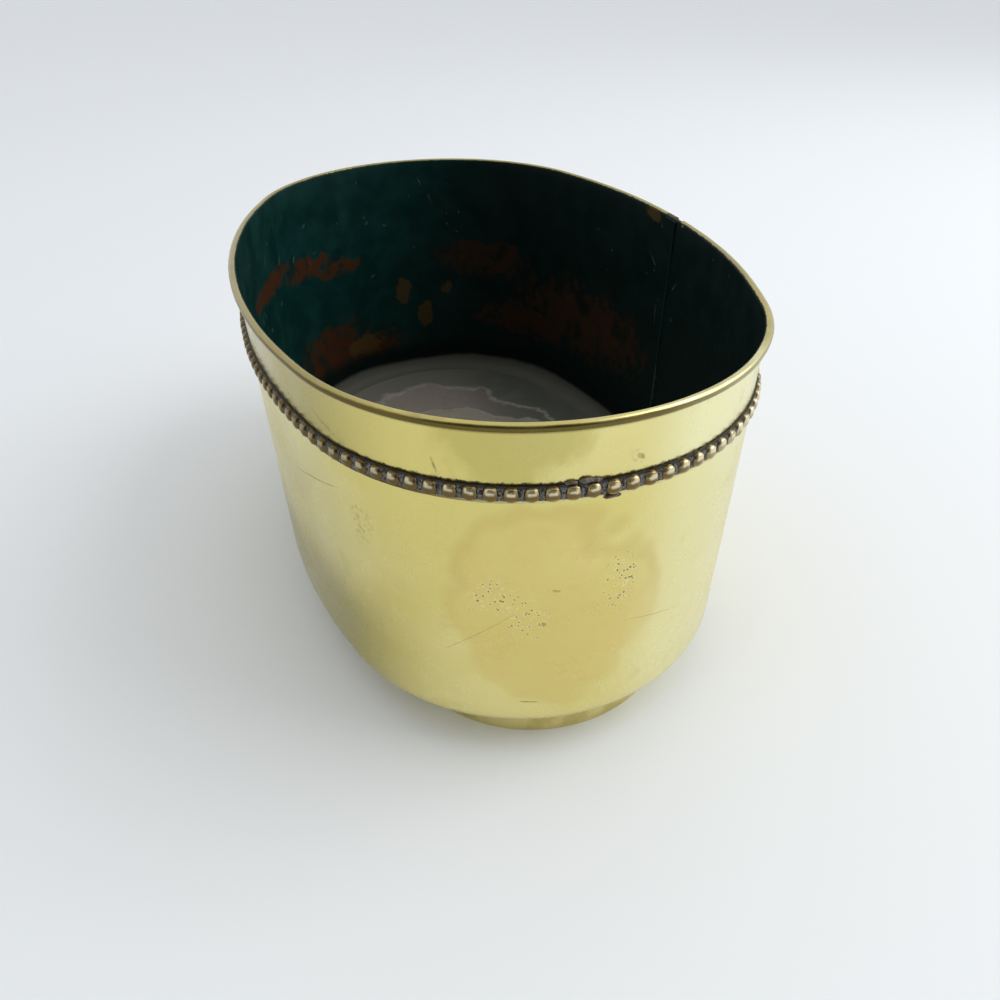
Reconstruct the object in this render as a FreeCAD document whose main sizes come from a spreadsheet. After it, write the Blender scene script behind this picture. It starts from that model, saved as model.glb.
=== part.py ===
import FreeCAD, Part
import math
import os
import re

import Sketcher

# Oval sheet brass cachepot with a wired rim, a beaded band and a foot ring.
# Millimetres, +Z up, +X along the oval, origin under the middle of the foot.
# Every ring but the foot follows one oval of four arcs, set out at the outside of the
# rolled rim. The foot has a smaller oval of its own with rounder sides.
# A ring's section is drawn from its oval: x runs outward from it and y is the height.

sizes = {
    "rim_length": 200,
    "rim_width": 130,
    "overall_height": 97.5,
    "end_radius_share": 0.877,
    "sheet_thickness": 0.5,
    "wire_diameter": 0.8,
    "wire_clearance": 0.05,
    "curl_gap": 0.1,
    "corner_radius": 5.5,
    "flange_width": 10,
    "lap_width": 6,
    "seam_reach": 1.2,
    "notch_width": 4,
    "base_thickness": 0.8,
    "base_gap": 0.3,
    "foot_height": 10,
    "foot_thickness": 1,
    "foot_end_inset": 6.1,
    "foot_side_inset": 9.6,
    "foot_end_radius_share": 0.74,
    "band_drop": 15.7,
    "strip_width": 4,
    "strip_thickness": 0.4,
    "strip_clearance": 0.05,
    "bead_diameter": 3.8,
    "bead_gap": 0.1,
    "bead_rise": 1.4,
    "cut_overrun": 1,
}

# Sizes that follow from the ones above. Each name may be used in the next formulas.
derived = {
    "end_radius": "rim_width / 2 * end_radius_share",
    "end_centre": "rim_length / 2 - end_radius",
    "side_radius": "(end_centre ^ 2 + rim_width ^ 2 / 4 - end_radius ^ 2)"
                   " / (rim_width - 2 * end_radius)",
    "side_centre": "rim_width / 2 - side_radius",
    "join_angle": "atan(-side_centre / end_centre)",
    "curl_inner": "wire_diameter / 2 + wire_clearance",
    "curl_outer": "curl_inner + sheet_thickness",
    "curl_height": "overall_height - curl_outer",
    "lip_angle": "270 deg - asin((curl_inner - curl_gap) / curl_outer)",
    "wall_outer": "sheet_thickness - 2 * curl_outer",
    "wall_inner": "-2 * curl_outer",
    "corner_height": "foot_height + corner_radius",
    "flange_edge": "wall_outer - corner_radius",
    "flange_top": "foot_height + sheet_thickness",
    "seam_radius": "side_radius + wall_inner",
    "foot_half_length": "rim_length / 2 + wall_outer - foot_end_inset",
    "foot_half_width": "rim_width / 2 + wall_outer - foot_side_inset",
    "foot_end_radius": "foot_half_width * foot_end_radius_share",
    "foot_end_centre": "foot_half_length - foot_end_radius",
    "foot_side_radius": "(foot_end_centre ^ 2 + foot_half_width ^ 2 - foot_end_radius ^ 2)"
                        " / (2 * foot_half_width - 2 * foot_end_radius)",
    "foot_side_centre": "foot_half_width - foot_side_radius",
    "foot_join_angle": "atan(-foot_side_centre / foot_end_centre)",
    "band_height": "overall_height - band_drop",
    "bead_pitch": "bead_diameter + bead_gap",
}

# The two ovals that rings follow: half length, half width, end and side radius, join angle.
rim_oval = ("rim_length / 2", "rim_width / 2", "end_radius", "side_radius", "join_angle")
foot_oval = ("foot_half_length", "foot_half_width", "foot_end_radius", "foot_side_radius",
             "foot_join_angle")

# The sheet's bends are chords: so many in the bottom corner, and so many to a full curl.
corner_chords = 2
curl_chords = 8
wire_sides = 6

# A bead is a six-sided dome that narrows at its shoulder and closes in a low point.
bead_sides = 6
shoulder_radius_share = 0.74
shoulder_rise_share = 0.68


def formula(text):
    """Writes a formula in size names as an expression on the sheet."""
    def expand(match):
        word = match.group()
        if word in sizes:
            return "Sizes." + word
        if word in derived:
            return "(" + formula(derived[word]) + ")"
        return word

    return re.sub("[a-z_]+", expand, text)


def make_sheet(document):
    sheet = document.addObject("Spreadsheet::Sheet", "Sizes")
    for row, (alias, value) in enumerate(sizes.items(), start=1):
        sheet.set(f"A{row}", alias)
        sheet.set(f"B{row}", str(value))
        sheet.setAlias(f"B{row}", alias)
    document.recompute()


def value_of(item, text):
    return float(item.evalExpression(formula(text)))


def size(text):
    return value_of(doc.getObject("Sizes"), text)


def make_body(name):
    body = doc.addObject("PartDesign::Body", name)
    body.Label = name
    body.Placement = FreeCAD.Placement()
    return body


def origin_item(body, role):
    return next(item for item in body.Origin.OriginFeatures if item.Role == role)


def make_sketch(body, name, role):
    sketch = body.newObject("Sketcher::SketchObject", name)
    sketch.AttachmentSupport = [(origin_item(body, role), "")]
    sketch.MapMode = "FlatFace"
    return sketch


def bind(sketch, kind, place, text):
    """Adds a dimension of this kind to a place in the sketch and ties it to the sheet."""
    index = sketch.addConstraint(Sketcher.Constraint(kind, *place, value_of(sketch, text)))
    sketch.setExpression(f"Constraints[{index}]", formula(text))


def pin(sketch, place, x, y):
    bind(sketch, "DistanceX", place, x)
    bind(sketch, "DistanceY", place, y)


def bearing(point, centre):
    return math.atan2(point.y - centre.y, point.x - centre.x)


def outline(sketch, corners):
    """Draws a closed outline through corners given as formulas.

    A corner is (x, y). One that an arc leaves is (x, y, turn, radius, centre x, centre y),
    where the arc turns left or right on its way to the next corner.
    """
    spots = [FreeCAD.Vector(value_of(sketch, c[0]), value_of(sketch, c[1]), 0) for c in corners]
    starts = []
    ends = []
    for here, there, corner in zip(spots, spots[1:] + spots[:1], corners):
        if len(corner) == 2:
            edge = sketch.addGeometry(Part.LineSegment(here, there), False)
            starts.append((edge, 1))
            ends.append((edge, 2))
            continue
        turn, radius, centre_x, centre_y = corner[2:]
        centre = FreeCAD.Vector(value_of(sketch, centre_x), value_of(sketch, centre_y), 0)
        circle = Part.Circle(centre, FreeCAD.Vector(0, 0, 1), value_of(sketch, radius))
        first, last = (here, there) if turn == "left" else (there, here)
        arc = Part.ArcOfCircle(circle, bearing(first, centre), bearing(last, centre))
        edge = sketch.addGeometry(arc, False)
        bind(sketch, "Radius", (edge,), radius)
        starts.append((edge, 1 if turn == "left" else 2))
        ends.append((edge, 2 if turn == "left" else 1))
    for end, start in zip(ends, starts[1:] + starts[:1]):
        sketch.addConstraint(Sketcher.Constraint("Coincident", *end, *start))
    for start, corner in zip(starts, corners):
        pin(sketch, start, corner[0], corner[1])


def rectangle(sketch, left, bottom, right, top):
    outline(sketch, [(left, bottom), (right, bottom), (right, top), (left, top)])


def oval(sketch, inset):
    """Draws the four-arc oval that lies this far inside the pot's largest outline."""
    end_arc = f"end_radius - ({inset})"
    side_arc = f"side_radius - ({inset})"
    x = f"end_centre + ({end_arc}) * cos(join_angle)"
    y = f"({end_arc}) * sin(join_angle)"
    outline(sketch, [
        (x, f"-({y})", "left", end_arc, "end_centre", "0"),
        (x, y, "left", side_arc, "0", "side_centre"),
        (f"-({x})", y, "left", end_arc, "-(end_centre)", "0"),
        (f"-({x})", f"-({y})", "left", side_arc, "0", "-(side_centre)"),
    ])


def section_sketch(body, name, role, half, radius, draw):
    """Draws a section at the oval and an upright axis through its arc's centre."""
    sketch = make_sketch(body, name, role)
    sketch.setExpression("AttachmentOffset.Base.x", formula(half))
    draw(sketch)
    foot = FreeCAD.Vector(-value_of(sketch, radius), 0, 0)
    head = FreeCAD.Vector(-value_of(sketch, radius), value_of(sketch, "overall_height"), 0)
    axis = sketch.addGeometry(Part.LineSegment(foot, head), True)
    pin(sketch, (axis, 1), f"-({radius})", "0")
    pin(sketch, (axis, 2), f"-({radius})", "overall_height")
    return sketch


def arc_sweep(body, kind, name, sketch):
    sweep = body.newObject(kind, name)
    sweep.Profile = sketch
    sweep.ReferenceAxis = (sketch, ["Axis0"])
    return sweep


def oval_ring(body, name, draw, line=rim_oval):
    """Turns one section round an end arc and a side arc, then repeats both opposite."""
    half_length, half_width, end_arc, side_arc, join = line
    arcs = (
        ("end", "XZ_Plane", half_length, end_arc, f"2 * {join}"),
        ("side", "YZ_Plane", half_width, side_arc, f"180 deg - 2 * {join}"),
    )
    sweeps = []
    for place, role, half, radius, angle in arcs:
        sketch = section_sketch(body, f"{name}_{place}_section", role, half, radius, draw)
        sweep = arc_sweep(body, "PartDesign::Revolution", f"{name}_{place}", sketch)
        sweep.Midplane = True
        sweep.setExpression("Angle", formula(angle))
        sweeps.append(sweep)
    pattern = body.newObject("PartDesign::PolarPattern", f"{name}_opposite")
    pattern.Originals = sweeps
    pattern.Axis = (origin_item(body, "Z_Axis"), [""])
    pattern.Angle = 360
    pattern.Occurrences = 2
    body.Tip = pattern
    doc.recompute()


def seam_sweep(body, kind, name, draw, behind, ahead):
    """Turns a section along the +Y side from the middle: behind toward -X, ahead toward +X."""
    sketch = section_sketch(body, name + "_section", "YZ_Plane", "rim_width / 2",
                            "side_radius", draw)
    sweep = arc_sweep(body, kind, name, sketch)
    sweep.Type = "TwoAngles"
    sweep.setExpression("Angle", formula(f"asin(({behind}) / seam_radius)"))
    sweep.setExpression("Angle2", formula(f"asin(({ahead}) / seam_radius)"))
    body.Tip = sweep
    doc.recompute()


def chords(centre_x, centre_y, radius, angles):
    """Returns the corners on an arc at these angles, all given as formulas."""
    return [(f"{centre_x} + ({radius}) * cos({angle})", f"{centre_y} + ({radius}) * sin({angle})")
            for angle in angles]


def wall_section(sketch):
    """One sheet: turned-in flange, rounded corner, straight wall and outward curl."""
    bend = [f"{90 * step / corner_chords - 90} deg" for step in range(corner_chords + 1)]
    whole_chords = 3 * curl_chords // 4
    curl = [f"{180 - 360 * step / curl_chords} deg" for step in range(whole_chords + 1)]
    curl.append("lip_angle")
    flange_end = "flange_edge - flange_width"
    corner = ("flange_edge", "corner_height")
    core = ("-curl_outer", "curl_height")
    outer = [(flange_end, "foot_height")]
    outer += chords(*corner, "corner_radius", bend)
    outer += chords(*core, "curl_inner", curl)
    inner = [(flange_end, "flange_top")]
    inner += chords(*corner, "corner_radius - sheet_thickness", bend)
    inner += chords(*core, "curl_outer", curl)
    outline(sketch, outer + inner[::-1])


def make_wall():
    """The sheet bent round, lapped on its inside at the seam, its curl open at the seam."""
    body = make_body("wall")
    oval_ring(body, "sheet", wall_section)

    def lap(sketch):
        rectangle(sketch, "wall_inner - sheet_thickness", "corner_height",
                  "wall_inner", "curl_height")

    def notch(sketch):
        rectangle(sketch, "wall_outer", "curl_height - curl_outer - cut_overrun",
                  "cut_overrun", "overall_height + cut_overrun")

    seam_sweep(body, "PartDesign::Revolution", "lap", lap,
               "lap_width - seam_reach", "seam_reach")
    full = body.Shape.Volume
    seam_sweep(body, "PartDesign::Groove", "curl_notch", notch,
               "notch_width / 2 - seam_reach", "notch_width / 2 + seam_reach")
    if body.Shape.Volume >= full:
        raise RuntimeError("the notch in the curl cuts nothing")
    return body


def make_rim_wire():
    body = make_body("rim_wire")
    angles = [f"{360 * side / wire_sides} deg" for side in range(wire_sides)]
    oval_ring(body, "wire",
              lambda sketch: outline(sketch, chords("-curl_outer", "curl_height",
                                                    "wire_diameter / 2", angles)))
    return body


def oval_wire(inset):
    """The oval that lies this far inside the pot's largest outline, at the band's lower edge."""
    centre_x = size("end_centre")
    centre_y = size("side_centre")
    join = math.radians(size("join_angle"))
    end_arc = size("end_radius") - inset
    side_arc = size("side_radius") - inset
    height = size("band_height - strip_width / 2")
    arcs = [
        (centre_x, 0, end_arc, -join, join),
        (0, centre_y, side_arc, join, math.pi - join),
        (-centre_x, 0, end_arc, math.pi - join, math.pi + join),
        (0, -centre_y, side_arc, math.pi + join, 2 * math.pi - join),
    ]
    upward = FreeCAD.Vector(0, 0, 1)
    edges = []
    for x, y, radius, first, last in arcs:
        circle = Part.Circle(FreeCAD.Vector(x, y, height), upward, radius)
        edges.append(Part.ArcOfCircle(circle, first, last).toShape())
    return Part.Wire(edges)


def bead_ring(radius, rise):
    points = []
    for side in range(bead_sides + 1):
        turn = (side + 0.5) * 2 * math.pi / bead_sides
        points.append(FreeCAD.Vector(rise, radius * math.cos(turn), radius * math.sin(turn)))
    return points


def bead_solid():
    """A faceted dome that rises along +X from the origin, with flats towards its neighbours."""
    radius = size("bead_diameter") / 2
    rise = size("bead_rise")
    foot = bead_ring(radius, 0)
    shoulder = bead_ring(shoulder_radius_share * radius, shoulder_rise_share * rise)
    tip = FreeCAD.Vector(rise, 0, 0)
    outlines = [foot]
    for side in range(bead_sides):
        following = side + 1
        outlines.append([foot[side], foot[following], shoulder[following], shoulder[side],
                         foot[side]])
        outlines.append([shoulder[side], shoulder[following], tip, shoulder[side]])
    faces = [Part.Face(Part.makePolygon(points)) for points in outlines]
    return Part.Solid(Part.Shell(faces))


def facet_ring(inset, count):
    """A face inside the oval at this inset, with as many straight sides as beads."""
    points = oval_wire(inset).discretize(Number=2 * count + 1)[1::2]
    return Part.Face(Part.makePolygon(points + points[:1]))


def make_bead_band():
    """Beaded gallery wire: a flat strip round the wall with evenly spaced beads on it."""
    upward = FreeCAD.Vector(0, 0, 1)
    seat_line = -size("wall_outer + strip_clearance")
    face_line = seat_line - size("strip_thickness")
    line = oval_wire((seat_line + face_line) / 2)
    count = round(line.Length / size("bead_pitch"))
    strip = facet_ring(face_line, count).cut(facet_ring(seat_line, count))
    strip = strip.extrude(upward * size("strip_width"))
    points = line.discretize(Number=2 * count + 1)[:-1]
    bead = bead_solid()
    beads = []
    for index in range(0, 2 * count, 2):
        run = points[index + 1] - points[index - 1]
        turn = math.degrees(math.atan2(run.y, run.x)) - 90
        copy = bead.copy()
        copy.Placement = FreeCAD.Placement(points[index] + upward * size("strip_width") / 2,
                                           FreeCAD.Rotation(upward, turn))
        beads.append(copy)
    band = doc.addObject("Part::Feature", "bead_band")
    band.Label = "bead_band"
    band.Shape = strip.multiFuse(beads)
    band.Placement = FreeCAD.Placement()
    return band


def make_base_plate():
    """The flat floor, which lies on the flange just inside the rounded corner."""
    body = make_body("base_plate")
    sketch = make_sketch(body, "floor_outline", "XY_Plane")
    sketch.setExpression("AttachmentOffset.Base.z", formula("flange_top"))
    oval(sketch, "base_gap - flange_edge")
    pad = body.newObject("PartDesign::Pad", "floor")
    pad.Profile = sketch
    pad.setExpression("Length", formula("base_thickness"))
    body.Tip = pad
    doc.recompute()
    return body


def make_foot_ring():
    """A strip on edge under the flange, bent to the foot's own oval."""
    body = make_body("foot_ring")
    oval_ring(body, "foot",
              lambda sketch: rectangle(sketch, "-foot_thickness", "0", "0", "foot_height"),
              foot_oval)
    return body


def check(document, bodies):
    for item in document.Objects:
        if "Invalid" in item.State or "Error" in item.State:
            raise RuntimeError(f"{item.Name} failed: {item.State}")
        if item.isDerivedFrom("Sketcher::SketchObject") and not item.FullyConstrained:
            raise RuntimeError(f"{item.Name} isn't fully constrained")
    for body in bodies:
        shape = body.Shape
        if shape.isNull() or not shape.isValid() or len(shape.Solids) != 1:
            raise RuntimeError(f"{body.Label} isn't one valid solid")


doc = FreeCAD.newDocument("Cachepot")
make_sheet(doc)
pieces = [make_wall(), make_rim_wire(), make_bead_band(), make_base_plate(), make_foot_ring()]
doc.recompute()
check(doc, pieces)
os.makedirs("parts", exist_ok=True)
for piece in pieces:
    box = piece.Shape.BoundBox
    print(piece.Label, [round(v, 2) for v in (box.XMin, box.XMax, box.YMin, box.YMax, box.ZMin,
                                              box.ZMax)], round(piece.Shape.Volume, 1))
    piece.Shape.exportStep(f"parts/{piece.Label}.step")
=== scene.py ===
import math
import random

import bmesh
import bpy
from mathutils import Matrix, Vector


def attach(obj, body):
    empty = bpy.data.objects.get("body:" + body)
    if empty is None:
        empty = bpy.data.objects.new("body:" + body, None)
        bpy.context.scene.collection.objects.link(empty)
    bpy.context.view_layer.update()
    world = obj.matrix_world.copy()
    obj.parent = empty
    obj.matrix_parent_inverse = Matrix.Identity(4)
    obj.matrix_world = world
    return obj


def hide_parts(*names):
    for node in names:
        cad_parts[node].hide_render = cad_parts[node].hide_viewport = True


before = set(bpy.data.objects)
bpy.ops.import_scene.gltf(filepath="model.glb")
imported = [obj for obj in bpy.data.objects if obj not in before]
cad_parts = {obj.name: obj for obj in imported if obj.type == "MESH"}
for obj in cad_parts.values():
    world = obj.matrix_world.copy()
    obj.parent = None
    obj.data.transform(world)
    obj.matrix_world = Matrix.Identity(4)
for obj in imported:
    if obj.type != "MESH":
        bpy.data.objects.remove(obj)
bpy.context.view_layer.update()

# Small oval brass cachepot: wired rim, beaded band, lapped seam, floor plate and foot ring.
# Metres. +X along the oval, +Z up, the lapped seam on the +Y side, the foot stands on z = 0.

mm = 0.001
random.seed(17)

overallHeight = 97.5 * mm


# A four-arc oval. Its arcs run in order from the +X tip, each with its centre x and y,
# radius, first angle and run.
def makeOval(halfLength, halfWidth, endRadius):
    endCentre = halfLength - endRadius
    sideRadius = ((endCentre ** 2 + halfWidth ** 2 - endRadius ** 2)
                  / (2 * (halfWidth - endRadius)))
    sideCentre = halfWidth - sideRadius
    join = math.atan2(-sideCentre, endCentre)
    endRun = 2 * join * endRadius
    sideRun = (math.pi - 2 * join) * sideRadius
    return {
        "halfLength": halfLength, "halfWidth": halfWidth, "endRadius": endRadius,
        "endCentre": endCentre, "sideRadius": sideRadius, "sideCentre": sideCentre,
        "join": join, "endRun": endRun, "run": 2 * (endRun + sideRun),
        "arcs": ((endCentre, 0, endRadius, 0, endRun / 2),
                 (0, sideCentre, sideRadius, join, sideRun),
                 (-endCentre, 0, endRadius, math.pi - join, endRun),
                 (0, -sideCentre, sideRadius, math.pi + join, sideRun),
                 (endCentre, 0, endRadius, 2 * math.pi - join, endRun / 2)),
    }


# The outside of the rolled rim, which all but the foot follows, and the foot's outside.
rimOval = makeOval(100 * mm, 65 * mm, 57.005 * mm)
footOval = makeOval(92.5 * mm, 54 * mm, 39.96 * mm)


def deselectAll():
    if bpy.context.mode != "OBJECT":
        bpy.ops.object.mode_set(mode="OBJECT")
    bpy.ops.object.select_all(action="DESELECT")


def workOn(piece):
    deselectAll()
    bpy.context.view_layer.objects.active = piece
    piece.select_set(True)


# Selects the verts, edges or faces that pass the test, in edit mode.
def pick(piece, kind, test):
    mesh = bmesh.from_edit_mesh(piece.data)
    for group in (mesh.verts, mesh.edges, mesh.faces):
        for item in group:
            item.select = False
    chosen = [item for item in getattr(mesh, kind) if test(item)]
    for item in chosen:
        item.select_set(True)
    mesh.select_flush_mode()
    bmesh.update_edit_mesh(piece.data)


# Extrudes one vertex through a section at the +X tip. A point is (inset, height),
# where the inset is measured inwards from the oval.
def drawSection(name, points, closed, oval=rimOval):
    deselectAll()
    first = Vector((oval["halfLength"] - points[0][0], 0, points[0][1]))
    bpy.ops.mesh.primitive_plane_add(size=mm, location=first)
    piece = bpy.context.object
    piece.name = name
    piece.data.name = name
    bpy.ops.object.transform_apply(location=True, rotation=True, scale=True)
    bpy.ops.object.mode_set(mode="EDIT")
    bpy.ops.mesh.select_mode(type="VERT")
    bpy.ops.mesh.select_all(action="SELECT")
    bpy.ops.mesh.merge(type="CENTER")
    for here, there in zip(points, points[1:]):
        step = (here[0] - there[0], 0, there[1] - here[1])
        bpy.ops.mesh.extrude_region_move(TRANSFORM_OT_translate={"value": step})
    if closed:
        ends = [Vector((oval["halfLength"] - u, 0, z)) for u, z in (points[0], points[-1])]
        pick(piece, "verts", lambda v: min((v.co - end).length for end in ends) < 1e-7)
        bpy.ops.mesh.edge_face_add()
    return piece


# Spins the section round the arcs, back to where it began.
def spinRound(piece, columns, oval=rimOval):
    bpy.ops.mesh.select_all(action="SELECT")
    for x, y, radius, _, run in oval["arcs"]:
        bpy.ops.mesh.spin(steps=max(2, round(columns * run / oval["run"])),
                          angle=-run / radius, center=(x, y, 0), axis=(0, 0, 1))
    bpy.ops.mesh.select_all(action="SELECT")
    bpy.ops.mesh.remove_doubles(threshold=1e-5)
    bpy.ops.mesh.normals_make_consistent(inside=False)
    bpy.ops.object.mode_set(mode="OBJECT")


# Section points on an arc, angles in degrees, 0 towards the outside.
def arcPoints(inset, height, radius, first, last, steps):
    points = []
    for step in range(steps + 1):
        angle = math.radians(first + (last - first) * step / steps)
        points.append((inset - radius * math.cos(angle), height + radius * math.sin(angle)))
    return points


def upright(inset, bottom, top, steps):
    return [(inset, bottom + (top - bottom) * step / steps) for step in range(1, steps)]


# How far round from the +X tip a point is, and how far inside the rim's oval.
def ovalPlace(x, y):
    o = rimOval
    side = math.atan2(abs(y) - o["sideCentre"], abs(x))
    if side > o["join"]:
        inset = o["sideRadius"] - math.hypot(x, abs(y) - o["sideCentre"])
        along = o["endRun"] / 2 + (side - o["join"]) * o["sideRadius"]
    else:
        inset = o["endRadius"] - math.hypot(abs(x) - o["endCentre"], y)
        along = math.atan2(abs(y), abs(x) - o["endCentre"]) * o["endRadius"]
    if x < 0:
        along = o["run"] / 2 - along
    return (along if y >= 0 else -along), inset


# The spot this far round from the +X tip and this far inside the rim's oval, and its bearing.
def ovalSpot(along, inset, height):
    along = along % rimOval["run"]
    for x, y, radius, start, run in rimOval["arcs"]:
        if along <= run:
            break
        along -= run
    angle = start + min(along, run) / radius
    return Vector((x + (radius - inset) * math.cos(angle),
                   y + (radius - inset) * math.sin(angle), height)), angle


# Where the sheet folds in at the bottom, in millimetres: the fold's centre, and the distance
# from it that lies midway between the sheet's inner and outer faces, there and all the way up.
foldPlace = {"inset": 6.9, "height": 15.5, "middle": 5.25}


# Writes "place" on the face corners, in millimetres: run from the +X tip, height, inset.
# Outer faces count the run both ways from the tip, inner faces count it all one way.
def markPlace(piece):
    mesh = piece.data
    spots = [ovalPlace(v.co.x, v.co.y) for v in mesh.vertices]
    reach = [math.hypot(min(spot[1] / mm - foldPlace["inset"], 0),
                        min(v.co.z / mm - foldPlace["height"], 0))
             for spot, v in zip(spots, mesh.vertices)]
    layer = mesh.attributes.new("place", "FLOAT_VECTOR", "CORNER")
    wholeRun = rimOval["run"]
    middle = wholeRun / 2
    for face in mesh.polygons:
        inner = sum(reach[v] for v in face.vertices) / len(face.vertices) < foldPlace["middle"]
        runs = [spots[v][0] for v in face.vertices]
        if inner:
            runs = [run % wholeRun for run in runs]
        if max(runs) - min(runs) > middle:
            runs = [run + wholeRun if run < (middle if inner else 0) else run for run in runs]
        for loop, run, vertex in zip(face.loop_indices, runs, face.vertices):
            height = mesh.vertices[vertex].co.z
            layer.data[loop].vector = (run / mm, height / mm, spots[vertex][1] / mm)


# The sheet isn't quite true: every piece on it follows the same gentle waves.
dentSizes = {
    "longWave": 0.045,
    "shortWave": 0.016,
    "longStrength": 0.5 * mm,
    "shortStrength": 0.14 * mm,
}


def followDents(piece):
    workOn(piece)
    for axis in ("X", "Y"):
        for wave in ("long", "short"):
            texture = bpy.data.textures.get(wave + "Wave")
            if texture is None:
                texture = bpy.data.textures.new(wave + "Wave", "CLOUDS")
                texture.noise_scale = dentSizes[wave + "Wave"]
                texture.noise_depth = 1
            bpy.ops.object.modifier_add(type="DISPLACE")
            modifier = piece.modifiers[-1]
            modifier.texture = texture
            modifier.texture_coords = "LOCAL"
            modifier.direction = axis
            modifier.mid_level = 0.5
            modifier.strength = dentSizes[wave + "Strength"]
            bpy.ops.object.modifier_apply(modifier=modifier.name)


# Roughens a small piece by moving its points along their normals.
def roughen(piece, size, strength):
    workOn(piece)
    texture = bpy.data.textures.new(piece.name + "Rough", "CLOUDS")
    texture.noise_scale = size
    bpy.ops.object.modifier_add(type="DISPLACE")
    modifier = piece.modifiers[-1]
    modifier.texture = texture
    modifier.texture_coords = "LOCAL"
    modifier.mid_level = 0.5
    modifier.strength = strength
    bpy.ops.object.modifier_apply(modifier=modifier.name)


def smoothBy(piece, degrees):
    workOn(piece)
    bpy.ops.object.shade_smooth_by_angle(angle=math.radians(degrees))


def finishPiece(piece, slot, material, *nodes):
    piece.data.materials.clear()
    piece.data.materials.append(material)
    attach(piece, "root")
    if nodes:
        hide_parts(*nodes)


# Node helpers: each adds one node and hands back its output.
def put(tree, kind, sockets, output=0, **settings):
    node = tree.nodes.new("ShaderNode" + kind)
    for name, value in settings.items():
        setattr(node, name, value)
    for key, value in sockets.items():
        if isinstance(value, bpy.types.NodeSocket):
            tree.links.new(value, node.inputs[key])
        else:
            node.inputs[key].default_value = value
    return node.outputs[output]


def calc(tree, operation, first, second=0.0, clamp=False):
    return put(tree, "Math", {0: first, 1: second}, operation=operation, use_clamp=clamp)


def fade(tree, value, low, high, start=0.0, end=1.0):
    return put(tree, "MapRange", {"Value": value, "From Min": low, "From Max": high,
                                  "To Min": start, "To Max": end},
               interpolation_type="SMOOTHSTEP")


def paint(tree, amount, under, over):
    under = (*under, 1) if isinstance(under, tuple) else under
    over = (*over, 1) if isinstance(over, tuple) else over
    return put(tree, "Mix", {"Factor": amount, 6: under, 7: over}, 2, data_type="RGBA")


def cloud(tree, where, scale, detail=2.0, roughness=0.5):
    return put(tree, "TexNoise", {"Vector": where, "Scale": scale, "Detail": detail,
                                  "Roughness": roughness})


def cells(tree, where, scale, randomness=1.0):
    return put(tree, "TexVoronoi", {"Vector": where, "Scale": scale, "Randomness": randomness})


# A soft oval spot on the sheet, 1 inside and 0 outside, its edge bent by wobble.
def spot(tree, place, centre, size, wobble, edge=(1.05, 0.8)):
    away = put(tree, "VectorMath", {0: place, 1: (centre[0], centre[1], 0)},
               operation="SUBTRACT")
    away = put(tree, "VectorMath", {0: away, 1: (1 / size[0], 1 / size[1], 0)},
               operation="MULTIPLY")
    away = put(tree, "VectorMath", {0: away}, "Value", operation="LENGTH")
    return fade(tree, calc(tree, "ADD", away, wobble), edge[0], edge[1])


# A thin mark from one place on the sheet to another.
def stroke(tree, place, start, end, width):
    run = math.hypot(end[0] - start[0], end[1] - start[1])
    turn = math.atan2(end[1] - start[1], end[0] - start[0])
    centre = ((start[0] + end[0]) / 2, (start[1] + end[1]) / 2, 0)
    away = put(tree, "VectorMath", {0: place, 1: centre}, operation="SUBTRACT")
    away = put(tree, "VectorRotate", {"Vector": away, "Axis": (0, 0, 1), "Angle": -turn})
    away = put(tree, "VectorMath", {0: away, 1: (2 / run, 2 / width, 0)}, operation="MULTIPLY")
    away = put(tree, "VectorMath", {0: away}, "Value", operation="LENGTH")
    return fade(tree, away, 1.1, 0.7)


def most(tree, masks):
    result = masks[0]
    for mask in masks[1:]:
        result = calc(tree, "MAXIMUM", result, mask)
    return result


def newMaterial(name):
    material = bpy.data.materials.new(name)
    material.use_nodes = True
    tree = material.node_tree
    shader = tree.nodes["Principled BSDF"]
    return material, tree, shader


def feed(tree, shader, **sockets):
    for name, value in sockets.items():
        socket = shader.inputs[name.replace("_", " ")]
        if isinstance(value, bpy.types.NodeSocket):
            tree.links.new(value, socket)
        else:
            socket.default_value = value


def sheetPlace(tree):
    place = put(tree, "Attribute", {}, "Vector", attribute_name="place")
    parts = tree.nodes.new("ShaderNodeSeparateXYZ")
    tree.links.new(place, parts.inputs[0])
    return place, parts.outputs[0], parts.outputs[1], parts.outputs[2]


def objectPlace(tree):
    return put(tree, "TexCoord", {}, "Object")


brassLook = {
    "light": (0.83, 0.735, 0.31),
    "deep": (0.75, 0.645, 0.22),
    "pale": (0.90, 0.86, 0.50),
    "dull": (0.45, 0.385, 0.12),
    "curl": (0.32, 0.27, 0.11),
    "tan": (0.74, 0.57, 0.19),
    "tideLine": (0.60, 0.45, 0.14),
    "olive": (0.56, 0.49, 0.15),
    "brown": (0.10, 0.07, 0.015),
    "pit": (0.22, 0.13, 0.02),
    "scratch": (0.40, 0.32, 0.11),
    "roughness": (0.19, 0.31),
}
patinaLook = {
    "green": (0.0010, 0.021, 0.018),
    "greenPale": (0.0030, 0.034, 0.030),
    "black": (0.0022, 0.0075, 0.0062),
    "redBrown": (0.058, 0.019, 0.006),
    "ochre": (0.085, 0.050, 0.012),
    "fleck": (0.11, 0.14, 0.12),
    "grey": (0.13, 0.13, 0.105),
    "lapEdge": (0.012, 0.040, 0.034),
}
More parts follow.
